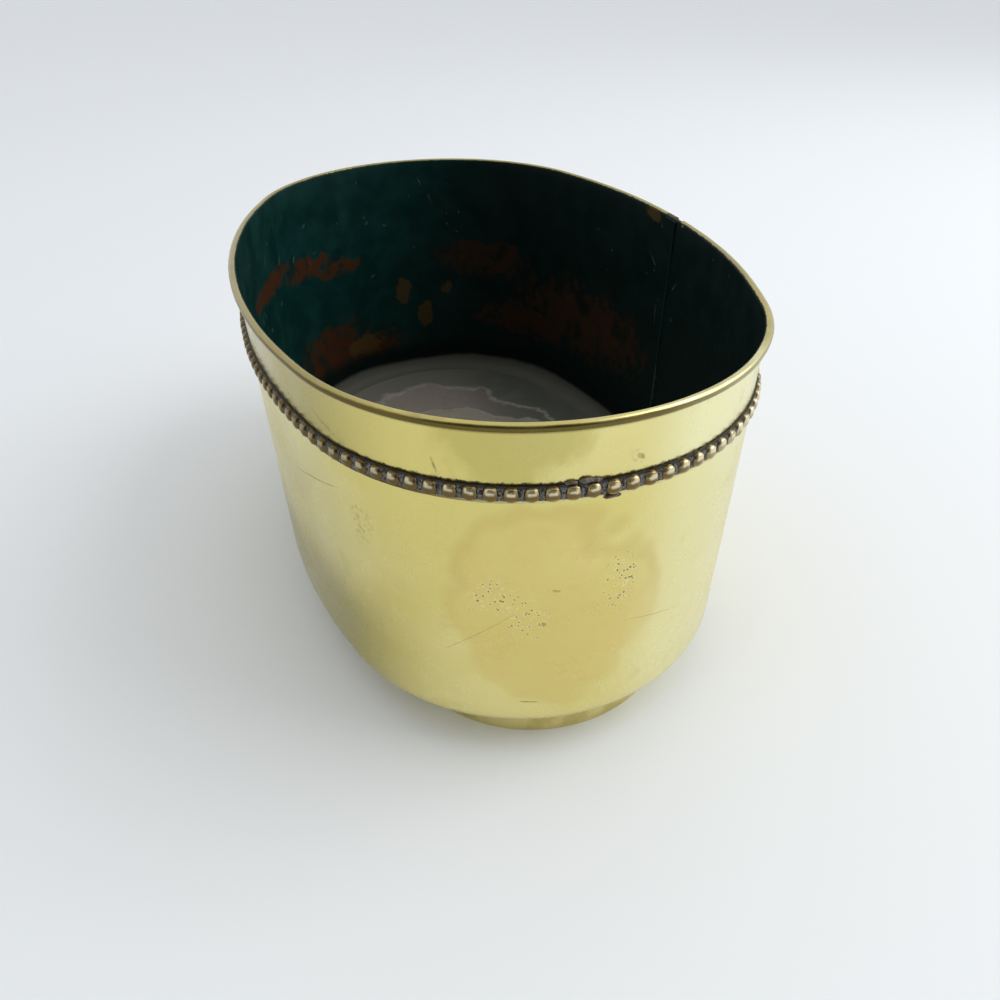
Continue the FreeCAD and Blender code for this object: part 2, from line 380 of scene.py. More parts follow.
# Marks on the outside in sheet millimetres, (run from the +X tip, height).
outsideMarks = {
    "tanPatch": ((-10.5, 46), (21.5, 27)),
    # collarReflection is a painted reflection.
    "collarReflection": ((-20, 94), (14, 11)),
    "pitPatches": [((-24, 55), (6, 6)), ((-16, 48), (6, 6)), ((4, 55), (4.5, 9))],
    "strokes": [((-37, 35), (-18, 51), 0.2), ((5.4, 43.5), (25, 38), 0.2),
                ((-18.5, 20.6), (-13, 20.2), 0.6), ((-11.5, 56.6), (-9.5, 56.2), 0.7),
                ((-13.5, 47), (-12.3, 46.5), 0.9), ((-87, 64), (-61, 72), 0.4),
                ((-68, 89), (-57, 84.5), 0.5), ((-35.5, 88.6), (-34.4, 85), 0.6),
                ((4.5, 88), (6.5, 86.5), 1.2)],
    "smudges": [((-55, 66), (4, 6)), ((5, 87.5), (2, 2)), ((-62, 86), (7, 3))],
    "notch": ((134, 96.8), (5.5, 2.6)),
    "scratchTurns": (0.35, -0.5, 1.2),
}
# Between which two places each kind of wear, painted highlight and painted shade comes or goes, in
# sheet millimetres.
markRuns = {
    "highlightStart": (0.0, 22.0),
    "highlightEnd": (55.0, 36.0),
    "shadeLeft": (-38.0, -72.0),
    "shadeRight": (38.0, 56.0),
    "curlLeft": (0.0, -60.0),
    "farLeft": (-20.0, -60.0),
    "farRight": (60.0, 90.0),
    "underFront": (30.0, 5.0),
    "underLeft": (-125.0, -75.0),
    "shadeEnd": (215.0, 275.0),
    "shadeStart": (460.0, 530.0),
    "rust": (225.0, 290.0),
}
markHeights = {
    "collar": (82.0, 84.0),
    "lowWall": (52.0, 30.0),
    "curl": (95.9, 96.3),
    "tide": (40.0, 62.0),
    "jointDarkTop": (84.35, 83.95),
    "jointDarkFoot": (79.5, 79.9),
    "underTop": (97.35, 96.95),
    "underFoot": (94.6, 95.4),
    "flecks": (45.0, 60.0),
    "cornerShade": (27.0, 20.0),
    "waterGrey": (17.2, 15.0),
}
# Pits are cells whose size follows a second cloud, each with a rubbed halo.
pitSizes = {
    "cellShift": (0.37, 0.19, 0),
    "cellScale": 0.88,
    "cloudScale": 0.7,
    "grow": (0.32, 0.66, 0.08, 0.29),
    "halo": (0.28, 0.05),
    "haloAmount": 0.4,
}
insideMarks = {
    "redBrown": [((364, 74), (12, 3)), ((345, 73), (16, 3.5)), ((318, 68), (14, 4)),
                 ((300, 63), (12, 3.5)), ((312, 30), (22, 12)), ((290, 26), (20, 6)),
                 ((235, 60), (20, 8)), ((180, 46), (40, 14)), ((215, 36), (25, 8))],
    "ochre": [((271, 47), (3.4, 5)), ((262, 36), (3.6, 5)), ((292, 27), (9, 5)),
              ((146, 95.5), (5, 2)), ((252, 47), (3, 2.5))],
    "scuffs": {"count": 16, "run": (250, 372), "height": (56, 90), "across": (0.6, 2.4),
               "up": (-3.5, 3.5), "width": (0.5, 1.1)},
    "lapLine": ((132.4, 14), (132.4, 96), 0.9),
    # The first stroke is a painted highlight on the lap's edge; the others are scuffs.
    "strokes": [((132.5, 30), (132.5, 51), 0.9), ((137, 62), (138, 70), 0.4),
                ((141, 80), (146, 84), 0.5), ((130, 76), (127, 80), 0.4)],
}


def makeBrass():
    material, tree, shader = newMaterial("agedBrass")
    look = brassLook
    runs = markRuns
    heights = markHeights
    place, along, height, inset = sheetPlace(tree)
    where = objectPlace(tree)
    broad = cloud(tree, where, 28.0, 3.0)
    middle = cloud(tree, where, 110.0, 4.0, 0.6)
    fine = cloud(tree, where, 900.0, 3.0, 0.6)
    bend = fade(tree, middle, 0.2, 0.8, -0.28, 0.28)

    colour = paint(tree, fade(tree, broad, 0.35, 0.65), look["deep"], look["light"])
    onCollar = fade(tree, height, *heights["collar"])
    # Painted highlight: a paler band round from the tip towards the lit +Y side, on the wall and
    # stronger on the collar.
    pale = calc(tree, "MULTIPLY", fade(tree, along, *runs["highlightStart"]),
                fade(tree, along, *runs["highlightEnd"]))
    colour = paint(tree, calc(tree, "MULTIPLY", pale, fade(tree, onCollar, 0.0, 1.0, 0.62, 0.95)),
                   colour, look["pale"])
    # Painted shade: the lower wall and the collar darker towards the -Y side, away from the lamp,
    # and the collar darker again past the highlight on the +Y side.
    shadedSide = calc(tree, "MULTIPLY", fade(tree, along, *runs["shadeLeft"], 0.0, 0.95),
                    most(tree, [fade(tree, height, *heights["lowWall"]), onCollar]))
    shadedSide = calc(tree, "MAXIMUM", shadedSide,
                    calc(tree, "MULTIPLY", onCollar,
                         fade(tree, along, *runs["shadeRight"], 0.0, 0.6)))
    colour = paint(tree, shadedSide, colour, look["dull"])
    curlTint = calc(tree, "MULTIPLY", fade(tree, height, *heights["curl"]),
                    fade(tree, middle, 0.3, 0.7, 0.3, 1.0))
    curlTint = calc(tree, "MULTIPLY", curlTint, fade(tree, along, *runs["curlLeft"], 0.5, 1.0))
    farSide = most(tree, [fade(tree, along, *runs["farLeft"]),
                          fade(tree, along, *runs["farRight"])])
    curlTint = calc(tree, "MAXIMUM", curlTint, calc(tree, "MULTIPLY", farSide,
                    fade(tree, height, *heights["curl"], 0.0, 0.75)))
    colour = paint(tree, curlTint, colour, look["curl"])
    tan = spot(tree, place, *outsideMarks["tanPatch"],
               fade(tree, broad, 0.25, 0.75, -0.3, 0.3), (1.1, 0.85))
    tide = calc(tree, "MULTIPLY", calc(tree, "MULTIPLY", tan, calc(tree, "SUBTRACT", 1.0, tan)),
                fade(tree, height, *heights["tide"], 0.2, 1.4))
    tan = calc(tree, "MULTIPLY", tan, fade(tree, middle, 0.35, 0.65, 0.4, 0.6))
    colour = paint(tree, tan, colour, look["tan"])
    colour = paint(tree, tide, colour, look["tideLine"])
    # Painted reflection: a darker olive patch on the front of the collar, standing in for the
    # darker room behind the camera.
    collar = calc(tree, "MULTIPLY",
                  spot(tree, place, *outsideMarks["collarReflection"], bend, (1.25, 0.7)), 0.75)
    colour = paint(tree, collar, colour, look["olive"])
    stain = calc(tree, "MULTIPLY", fade(tree, middle, 0.6, 0.75), 0.25)
    colour = paint(tree, stain, colour, look["olive"])

    # Darker at and just above the band, and painted shade in the groove under the curl of the rim.
    jointDark = calc(tree, "ADD", height, fade(tree, fine, 0.3, 0.7, -0.3, 0.3))
    jointDark = calc(tree, "MULTIPLY", fade(tree, jointDark, *heights["jointDarkTop"]),
                 fade(tree, height, *heights["jointDarkFoot"]))
    under = calc(tree, "ADD", height, fade(tree, middle, 0.2, 0.8, -0.15, 0.15))
    under = calc(tree, "MULTIPLY", fade(tree, under, *heights["underTop"]),
                 fade(tree, height, *heights["underFoot"]))
    # The painted shade under the curl weakens towards the lit +Y side and far round the -Y side.
    fades = calc(tree, "MULTIPLY", fade(tree, along, *runs["underFront"], 0.5, 0.9),
                fade(tree, along, *runs["underLeft"], 0.45, 1.0))
    under = calc(tree, "MULTIPLY", under, fades)
    notch = spot(tree, place, *outsideMarks["notch"], bend)
    colour = paint(tree, most(tree, [jointDark, under, notch]), colour, look["brown"])

    # Pits in patches, scratches where the photo has them, and fine ones all over.
    patches = [spot(tree, place, centre, size, bend, (1.15, 0.6))
               for centre, size in outsideMarks["pitPatches"]]
    patches = most(tree, patches)
    flat = put(tree, "VectorMath", {0: place, 1: (1, 1, 0)}, operation="MULTIPLY")
    flat = put(tree, "VectorMath", {0: flat, 1: pitSizes["cellShift"]}, operation="ADD")
    dots = cells(tree, flat, pitSizes["cellScale"])
    grow = fade(tree, cloud(tree, flat, pitSizes["cloudScale"]), *pitSizes["grow"])
    pits = calc(tree, "MULTIPLY", calc(tree, "LESS_THAN", dots, grow), patches)
    halo = fade(tree, calc(tree, "SUBTRACT", dots, grow), *pitSizes["halo"])
    halo = calc(tree, "MULTIPLY", halo, patches)
    colour = paint(tree, calc(tree, "MULTIPLY", halo, pitSizes["haloAmount"]), colour,
                   look["pale"])
    marks = [stroke(tree, place, *ends) for ends in outsideMarks["strokes"]]
    marks = calc(tree, "MULTIPLY", most(tree, marks), fade(tree, fine, 0.3, 0.6, 0.3, 0.8))
    smudges = [spot(tree, place, centre, size, bend, (1.2, 0.5))
               for centre, size in outsideMarks["smudges"]]
    smudges = calc(tree, "MULTIPLY", most(tree, smudges), fade(tree, fine, 0.45, 0.7, 0, 0.5))
    lines = []
    for turn in outsideMarks["scratchTurns"]:
        turned = put(tree, "VectorRotate", {"Vector": place, "Axis": (0, 0, 1), "Angle": turn})
        turned = put(tree, "VectorMath", {0: turned, 1: (0.035, 1.3, 1)}, operation="MULTIPLY")
        line = calc(tree, "ABSOLUTE",
                    calc(tree, "SUBTRACT", cloud(tree, turned, 1.0, 1.0), 0.5))
        lines.append(fade(tree, line, 0.006, 0.001))
    lines = calc(tree, "MULTIPLY", most(tree, lines), fade(tree, middle, 0.5, 0.7))
    colour = paint(tree, calc(tree, "MULTIPLY", pits, 0.85), colour, look["pit"])
    colour = paint(tree, most(tree, [marks, smudges]), colour, look["scratch"])
    colour = paint(tree, calc(tree, "MULTIPLY", lines, 0.22), colour, look["olive"])

    # Painted and stained inside: green, scraped to red-brown, grey where water stood, with painted
    # shade round the +X end, along the +Y side and in the corner just above the floor.
    look = patinaLook
    across = calc(tree, "MINIMUM", calc(tree, "SUBTRACT", inset, foldPlace["inset"]), 0.0)
    down = calc(tree, "MINIMUM", calc(tree, "SUBTRACT", height, foldPlace["height"]), 0.0)
    reach = calc(tree, "SQRT", calc(tree, "ADD", calc(tree, "MULTIPLY", across, across),
                                    calc(tree, "MULTIPLY", down, down)))
    reach = calc(tree, "ADD", reach, fade(tree, fine, 0.2, 0.8, -0.1, 0.1))
    inside = fade(tree, reach, foldPlace["middle"] + 0.1, foldPlace["middle"] - 0.1)
    coat = paint(tree, fade(tree, middle, 0.35, 0.7), look["green"], look["greenPale"])
    shade = calc(tree, "MAXIMUM", fade(tree, along, *runs["shadeEnd"], 0.8, 0.0),
                 fade(tree, along, *runs["shadeStart"], 0.0, 0.8))
    coat = paint(tree, shade, coat, look["black"])
    torn = calc(tree, "ADD", bend, fade(tree, cloud(tree, where, 300.0, 2.0), 0.25, 0.75,
                                        -0.3, 0.3))
    rust = [spot(tree, place, centre, size, torn, (1.15, 0.65))
            for centre, size in insideMarks["redBrown"]]
    rust = calc(tree, "MULTIPLY", most(tree, rust), fade(tree, middle, 0.38, 0.5, 0.2, 0.95))
    rust = calc(tree, "MULTIPLY", rust, fade(tree, along, *runs["rust"], 0.55, 1.0))
    coat = paint(tree, rust, coat, look["redBrown"])
    ochre = [spot(tree, place, centre, size, torn, (1.1, 0.75))
             for centre, size in insideMarks["ochre"]]
    coat = paint(tree, calc(tree, "MULTIPLY", most(tree, ochre), 0.7), coat, look["ochre"])
    # Painted highlight: a paler line down the lap's edge, lifting the shade of its step.
    lapLine = stroke(tree, place, *insideMarks["lapLine"])
    coat = paint(tree, calc(tree, "MULTIPLY", lapLine, 0.8), coat, look["lapEdge"])
    flecks = calc(tree, "LESS_THAN", cells(tree, place, 0.16), fade(tree, fine, 0.4, 0.8, 0, 0.16))
    flecks = calc(tree, "MULTIPLY", flecks, fade(tree, height, *heights["flecks"], 0.0, 0.45))
    # Scuffs, with a painted highlight on the lap's edge from the first listed stroke.
    worn = [stroke(tree, place, *ends) for ends in insideMarks["strokes"]]
    scuffs = insideMarks["scuffs"]
    for _ in range(scuffs["count"]):
        start = (random.uniform(*scuffs["run"]), random.uniform(*scuffs["height"]))
        end = (start[0] + random.uniform(*scuffs["across"]),
               start[1] + random.uniform(*scuffs["up"]))
        worn.append(stroke(tree, place, start, end, random.uniform(*scuffs["width"])))
    flecks = calc(tree, "MAXIMUM", flecks, calc(tree, "MULTIPLY", most(tree, worn),
                                                fade(tree, fine, 0.35, 0.6, 0.1, 0.6)))
    coat = paint(tree, flecks, coat, look["fleck"])
    # Painted shade: a near-black band in the corner just above the floor, and below it grey where
    # water stood.
    waterAndShadeLevel = calc(tree, "ADD", height, fade(tree, broad, 0.2, 0.8, -1.2, 1.2))
    coat = paint(tree, fade(tree, waterAndShadeLevel, *heights["cornerShade"], 0.0, 0.9), coat, look["black"])
    coat = paint(tree, fade(tree, waterAndShadeLevel, *heights["waterGrey"]), coat, look["grey"])
    colour = paint(tree, inside, colour, coat)

    dull = most(tree, [marks, calc(tree, "MULTIPLY", jointDark, 0.8), inside])
    roughness = fade(tree, middle, 0.3, 0.7, *brassLook["roughness"])
    roughness = calc(tree, "ADD", roughness, calc(tree, "MULTIPLY", dull, 0.25))
    metal = calc(tree, "SUBTRACT", 1.0, most(tree, [inside, calc(tree, "MULTIPLY", jointDark, 0.6)]))
    relief = calc(tree, "SUBTRACT", calc(tree, "MULTIPLY", broad, 1.6),
                  calc(tree, "MULTIPLY", most(tree, [pits, marks]), 0.03))
    relief = calc(tree, "ADD", relief, calc(tree, "MULTIPLY", fine, 0.008))
    bump = put(tree, "Bump", {"Height": relief, "Strength": 1.0, "Distance": 0.3 * mm})
    gloss = fade(tree, inside, 0.0, 1.0, 0.5, 0.12)
    feed(tree, shader, Base_Color=colour, Roughness=roughness, Metallic=metal, Normal=bump,
         Specular_IOR_Level=gloss)
    return material


# face is a painted dark reflection on each bead's face, and bright also gives the painted
# highlight on its crown.
beadLook = {
    "bright": (0.82, 0.74, 0.48),
    "worn": (0.48, 0.37, 0.17),
    "tarnish": (0.12, 0.085, 0.035),
    "face": (0.15, 0.095, 0.035),
}
# Between which two places wear, painted highlight and painted reflection come or go: runs from the
# +X tip, and heights and insets of a bead's own face, all in millimetres.
beadMarks = {
    "tarnished": (-8.0, -45.0),
    "bright": (8.0, 34.0),
    "faceReflectionRun": (40.0, 10.0),
    "highlightRun": (-80.0, -20.0),
    "faceFoot": (80.7, 81.2),
    "faceTop": (82.9, 82.0),
    "crownFoot": (81.9, 82.6),
    "crownTop": (83.4, 83.15),
    "neck": (0.3, 0.55),
}


# 1 at the middle of each bead and -1 midway between two.
def beadWave(tree, along):
    turn = calc(tree, "MULTIPLY", along, 2 * math.pi * mm * bandSizes["count"] / rimOval["run"])
    return calc(tree, "COSINE", turn)


def makeBeadBrass():
    material, tree, shader = newMaterial("beadBrass")
    look = beadLook
    fades = beadMarks
    _, along, height, inset = sheetPlace(tree)
    where = objectPlace(tree)
    fine = cloud(tree, where, 1500.0, 3.0, 0.6)
    middle = cloud(tree, where, 320.0, 3.0)
    colour = paint(tree, fade(tree, along, *fades["bright"]), look["worn"], look["bright"])
    colour = paint(tree, fade(tree, along, *fades["tarnished"]), colour, look["tarnish"])
    colour = paint(tree, fade(tree, middle, 0.45, 0.65, 0.0, 0.55), colour, look["tarnish"])
    # Painted highlight on top and a painted dark reflection on the face, with the plain colour
    # left at the bottom.
    level = calc(tree, "ADD", height, fade(tree, middle, 0.2, 0.8, -0.25, 0.25))
    face = calc(tree, "MULTIPLY", fade(tree, level, *fades["faceFoot"]),
                fade(tree, level, *fades["faceTop"]))
    face = calc(tree, "MULTIPLY", face, fade(tree, along, *fades["faceReflectionRun"], 0.3, 0.9))
    colour = paint(tree, face, colour, look["face"])
    crownHighlight = calc(tree, "MULTIPLY", fade(tree, level, *fades["crownFoot"]),
                 fade(tree, along, *fades["highlightRun"], 0.2, 0.8))
    crownHighlight = calc(tree, "MULTIPLY", crownHighlight, fade(tree, level, *fades["crownTop"]))
    crownHighlight = calc(tree, "MULTIPLY", crownHighlight, fade(tree, beadWave(tree, along), -0.1, 0.6))
    colour = paint(tree, crownHighlight, colour, look["bright"])
    # Painted shade on each bead's flanks, where it turns back to the strip, in the tarnish colour.
    colour = paint(tree, fade(tree, inset, *fades["neck"], 0.0, 0.85), colour, look["tarnish"])
    bump = put(tree, "Bump", {"Height": fine, "Strength": 0.5, "Distance": 0.06 * mm})
    feed(tree, shader, Base_Color=colour, Metallic=1.0, Normal=bump,
         Roughness=fade(tree, fine, 0.3, 0.7, 0.12, 0.24))
    return material


stripLook = {
    "solder": (0.19, 0.19, 0.18),
    "shade": (0.035, 0.032, 0.028),
    "darkLineAndShade": (0.018, 0.014, 0.007),
    "brass": (0.74, 0.65, 0.27),
    "tarnish": (0.10, 0.072, 0.03),
}
# Heights in millimetres, and for ring the value of beadWave.
stripMarks = {
    "bare": (80.65, 80.4),
    "aboveBare": (80.35, 80.55),
    "top": (83.2, 83.45),
    "ring": (-0.75, -0.2),
}


# The strip: brass along its lower edge under the beads, grey solder between them, a dark line
# along its top, and painted shade round each bead's foot.
def makeStripBrass():
    material, tree, shader = newMaterial("filledStrip")
    look = stripLook
    fades = stripMarks
    _, along, height, _ = sheetPlace(tree)
    where = objectPlace(tree)
    fine = cloud(tree, where, 1500.0, 3.0, 0.65)
    rough = fade(tree, fine, 0.25, 0.75, -0.2, 0.2)
    nearBead = calc(tree, "ADD", beadWave(tree, along), rough)
    grain = paint(tree, fade(tree, fine, 0.38, 0.6), look["shade"], look["solder"])
    base = paint(tree, fade(tree, along, *beadMarks["tarnished"]), look["brass"],
                 look["tarnish"])
    lower = calc(tree, "ADD", height, rough)
    bare = fade(tree, lower, *fades["bare"])
    colour = paint(tree, bare, grain, base)
    # Painted shade round each bead's foot, and a dark line along the strip's top.
    ring = calc(tree, "MULTIPLY", fade(tree, nearBead, *fades["ring"]),
                fade(tree, lower, *fades["aboveBare"]))
    top = fade(tree, lower, *fades["top"])
    shadeAndDarkLine = most(tree, [calc(tree, "MULTIPLY", ring, 0.8), top])
    colour = paint(tree, shadeAndDarkLine, colour, look["darkLineAndShade"])
    bump = put(tree, "Bump", {"Height": fine, "Strength": 0.9, "Distance": 0.12 * mm})
    feed(tree, shader, Base_Color=colour, Normal=bump,
         Metallic=calc(tree, "SUBTRACT", 1.0, calc(tree, "MULTIPLY", shadeAndDarkLine, 0.8)),
         Roughness=fade(tree, bare, 0.0, 1.0, 0.42, 0.25))
    return material


solderLook = {
    "dark": (0.05, 0.05, 0.048),
    "grey": (0.34, 0.35, 0.35),
    "brown": (0.12, 0.085, 0.04),
}


def makeSolder(name, bright):
    material, tree, shader = newMaterial(name)
    look = solderLook
    where = objectPlace(tree)
    fine = cloud(tree, where, 1200.0, 4.0, 0.65)
    middle = cloud(tree, where, 240.0, 3.0)
    colour = paint(tree, fade(tree, fine, 0.35, 0.65), look["dark"], look["grey"])
    colour = paint(tree, fade(tree, middle, 0.3, 0.7, 0.9 - bright, 0.3 - 0.3 * bright), colour,
                   look["brown"])
    bump = put(tree, "Bump", {"Height": fine, "Strength": 0.8, "Distance": 0.15 * mm})
    feed(tree, shader, Base_Color=colour, Metallic=0.6, Normal=bump,
         Roughness=fade(tree, middle, 0.3, 0.7, 0.38, 0.6))
    return material


floorLook = {
    "outer": (0.20, 0.195, 0.155),
    "dark": (0.07, 0.085, 0.065),
    "middle": (0.31, 0.265, 0.225),
    "inner": (0.40, 0.37, 0.295),
    "line": (0.58, 0.54, 0.46),
    "fleck": (0.42, 0.43, 0.42),
    "below": (0.30, 0.24, 0.10),
    "belowStain": (0.10, 0.085, 0.05),
}
# Tide lines as (centre, radii) in millimetres, then bands in metres: the painted shade on the +Y
# side, and the underside.
floorMarks = {
    "tideLines": (((3, -4), (90, 50)), ((2, 0), (60, 44))),
    "darkSide": (0.004, 0.036),
    "underside": (0.0109, 0.0108),
}


def makeFloorStain():
    material, tree, shader = newMaterial("waterStainedFloor")
    look = floorLook
    where = objectPlace(tree)
    parts = tree.nodes.new("ShaderNodeSeparateXYZ")
    tree.links.new(where, parts.inputs[0])
    broad = cloud(tree, where, 30.0, 3.0)
    middle = cloud(tree, where, 130.0, 4.0, 0.6)
    fine = cloud(tree, where, 700.0, 3.0, 0.6)
    rings = []
    for shift, radii in floorMarks["tideLines"]:
        away = put(tree, "VectorMath", {0: where, 1: (shift[0] * mm, shift[1] * mm, 0)},
                   operation="SUBTRACT")
        away = put(tree, "VectorMath", {0: away, 1: (1 / radii[0] / mm, 1 / radii[1] / mm, 0)},
                   operation="MULTIPLY")
        away = put(tree, "VectorMath", {0: away}, "Value", operation="LENGTH")
        away = calc(tree, "ADD", away, fade(tree, broad, 0.2, 0.8, -0.13, 0.13))
        rings.append(calc(tree, "ADD", away, fade(tree, middle, 0.2, 0.8, -0.03, 0.03)))
    colour = paint(tree, fade(tree, rings[0], 1.0, 0.96), look["outer"], look["middle"])
    # Painted shade on the +Y side of the floor, where the +Y wall shades it.
    colour = paint(tree, fade(tree, parts.outputs[1], *floorMarks["darkSide"], 0.0, 0.7), colour,
                   look["dark"])
    colour = paint(tree, fade(tree, rings[1], 1.0, 0.95, 0.0, 0.8), colour, look["inner"])
    edges = [fade(tree, calc(tree, "ABSOLUTE", calc(tree, "SUBTRACT", ring, 0.985)), 0.03, 0.0)
             for ring in rings]
    colour = paint(tree, calc(tree, "MULTIPLY", most(tree, edges),
                              fade(tree, middle, 0.35, 0.6, 0.1, 0.6)), colour, look["line"])
    blotch = calc(tree, "MULTIPLY", fade(tree, middle, 0.5, 0.7), 0.4)
    colour = paint(tree, blotch, colour, look["outer"])
    colour = paint(tree, fade(tree, fine, 0.68, 0.76, 0.0, 0.6), colour, look["fleck"])
    under = fade(tree, parts.outputs[2], *floorMarks["underside"])
    below = paint(tree, fade(tree, middle, 0.4, 0.65), look["below"], look["belowStain"])
    colour = paint(tree, under, colour, below)
    bump = put(tree, "Bump", {"Height": calc(tree, "ADD", middle, fine), "Strength": 0.6,
                              "Distance": 0.25 * mm})
    feed(tree, shader, Base_Color=colour, Normal=bump, Metallic=calc(tree, "MULTIPLY", under, 0.7),
         Roughness=fade(tree, middle, 0.3, 0.7, 0.45, 0.7))
    return material


footLook = {
    "brass": (0.86, 0.75, 0.34),
    "olive": (0.66, 0.57, 0.22),
    "edge": (0.88, 0.79, 0.42),
    "brown": (0.08, 0.05, 0.02),
}
# Heights in metres: the lighter lower edge, and the painted shade at the top where the foot meets
# the wall, with its raggedness.
footMarks = {
    "edge": (0.0008, 0.0002),
    "jointDark": (0.0088, 0.0098),
    "ragged": (-0.0006, 0.0006),
}


def makeFootBrass():
    material, tree, shader = newMaterial("footBrass")
    look = footLook
    where = objectPlace(tree)
    parts = tree.nodes.new("ShaderNodeSeparateXYZ")
    tree.links.new(where, parts.inputs[0])
    height = parts.outputs[2]
    middle = cloud(tree, where, 140.0, 3.0)
    fine = cloud(tree, where, 900.0, 3.0, 0.6)
    colour = paint(tree, fade(tree, middle, 0.35, 0.65), look["brass"], look["olive"])
    colour = paint(tree, fade(tree, height, *footMarks["edge"], 0.0, 0.8), colour, look["edge"])
    # Painted shade along the top of the foot, under the wall.
    top = calc(tree, "ADD", height, fade(tree, fine, 0.3, 0.7, *footMarks["ragged"]))
    colour = paint(tree, fade(tree, top, *footMarks["jointDark"]), colour, look["brown"])
    bump = put(tree, "Bump", {"Height": calc(tree, "ADD", middle, fine), "Strength": 0.4,
                              "Distance": 0.1 * mm})
    feed(tree, shader, Base_Color=colour, Metallic=1.0, Normal=bump,
         Roughness=fade(tree, fine, 0.3, 0.7, 0.28, 0.42))
    return material


wireLook = {
    "steel": (0.17, 0.16, 0.15),
    "rust": (0.09, 0.045, 0.02),
}


def makeWireSteel():
    material, tree, shader = newMaterial("rimWireSteel")
    where = objectPlace(tree)
    fine = cloud(tree, where, 1500.0, 3.0)
    colour = paint(tree, fade(tree, fine, 0.4, 0.62), wireLook["steel"], wireLook["rust"])
    bump = put(tree, "Bump", {"Height": fine, "Strength": 0.5, "Distance": 0.05 * mm})
    feed(tree, shader, Base_Color=colour, Metallic=0.8, Normal=bump,
         Roughness=fade(tree, fine, 0.3, 0.7, 0.35, 0.6))
    return material


wallSizes = {
    "sheet": 0.5 * mm,
    "curlRadius": 0.95 * mm,
    "curlSteps": 14,
    "lipAngle": 248.4 - 360,
    "cornerRadius": 5.5 * mm,
    "cornerSteps": 7,
    "footHeight": 10 * mm,
    "flangeWidth": 10 * mm,
    "rings": 26,
    "columns": 340,
    "lapEdges": (-4.8 * mm, 1.2 * mm),
    "lapReach": 12 * mm,
    "lapSlack": 0.3 * mm,
    "notchEdges": (-0.8 * mm, 3.2 * mm),
    "notchSpot": (0.06502, 0.0965),
    "notchDepth": 2.8 * mm,
    "notchHeight": 4 * mm,
    "smooth": 40,
}


def makeWall(material):
    s = wallSizes
    sheet = s["sheet"]
    curl = s["curlRadius"]
    outer = 2 * curl - sheet
    inner = 2 * curl
    curlHeight = overallHeight - curl
    corner = outer + s["cornerRadius"]
    cornerHeight = s["footHeight"] + s["cornerRadius"]
    points = [(corner + s["flangeWidth"], s["footHeight"])]
    points += arcPoints(corner, cornerHeight, s["cornerRadius"], -90, 0, s["cornerSteps"])
    points += upright(outer, cornerHeight, curlHeight, s["rings"])
    points += arcPoints(curl, curlHeight, curl - sheet, 180, s["lipAngle"], s["curlSteps"])
    points += arcPoints(curl, curlHeight, curl, s["lipAngle"], 180, s["curlSteps"])
    points += upright(inner, curlHeight, cornerHeight, s["rings"])
    points += arcPoints(corner, cornerHeight, s["cornerRadius"] - sheet, 0, -90,
                        s["cornerSteps"])
    points += [(corner + s["flangeWidth"], s["footHeight"] + sheet)]
    wall = drawSection("potWall", points, True)
    spinRound(wall, s["columns"])

    # The end of the sheet laps the start on the inside: the strip is cut out and raised.
    workOn(wall)
    bpy.ops.object.mode_set(mode="EDIT")
    bpy.ops.mesh.select_mode(type="FACE")
    innerFace = rimOval["halfWidth"] - inner

    def onLap(face, low, high):
        middle = face.calc_center_median()
        return (low < middle.x < high and abs(middle.y - innerFace) < s["lapSlack"]
                and cornerHeight < middle.z < curlHeight)

    for edge in s["lapEdges"]:
        pick(wall, "faces", lambda face: onLap(face, -s["lapReach"], s["lapReach"]))
        bpy.ops.mesh.bisect(plane_co=(edge, 0, 0), plane_no=(1, 0, 0))
    pick(wall, "faces", lambda face: onLap(face, *s["lapEdges"]))
    bpy.ops.mesh.extrude_region_move(TRANSFORM_OT_translate={"value": (0, -sheet, 0)})
    bpy.ops.object.mode_set(mode="OBJECT")

    # The curl is nipped out at the seam, and the wire shows there.
    deselectAll()
    low, high = s["notchEdges"]
    bpy.ops.mesh.primitive_cube_add(size=1, location=((low + high) / 2, *s["notchSpot"]))
    cutter = bpy.context.object
    cutter.scale = (high - low, s["notchDepth"], s["notchHeight"])
    bpy.ops.object.transform_apply(location=True, rotation=True, scale=True)
    workOn(wall)
    bpy.ops.object.modifier_add(type="BOOLEAN")
    wall.modifiers[-1].operation = "DIFFERENCE"
    wall.modifiers[-1].object = cutter
    bpy.ops.object.modifier_apply(modifier=wall.modifiers[-1].name)
    bpy.data.objects.remove(cutter)
    markPlace(wall)
    followDents(wall)
    smoothBy(wall, s["smooth"])
    finishPiece(wall, "wall_brass", material, "wall")


bandSizes = {
    "count": 134,
    "height": 81.8 * mm,
    "stripWidth": 4 * mm,
    "stripInset": 0.95 * mm,
    "stripBack": 1.38 * mm,
    "neckInset": 0.62 * mm,
    "neckHalf": 1.0 * mm,
    "neckEnd": 1.5 * mm,
    "seatInset": 1.1 * mm,
    "beadLift": 0.15 * mm,
    "beadHigh": 1.8 * mm,
    "beadWide": 1.74 * mm,
    "beadRise": 1.25 * mm,
    "beadSquare": 0.2,
    "beadSides": 14,
    "beadRings": 4,
    "beadRoll": 0.1,
    "beadShrink": (0.96, 1.0),
    "beadSmooth": 60,
    "columnsPerBead": 4,
    "roughSize": 0.8 * mm,
    "rough": 0.14 * mm,
    "stripSmooth": 50,
}


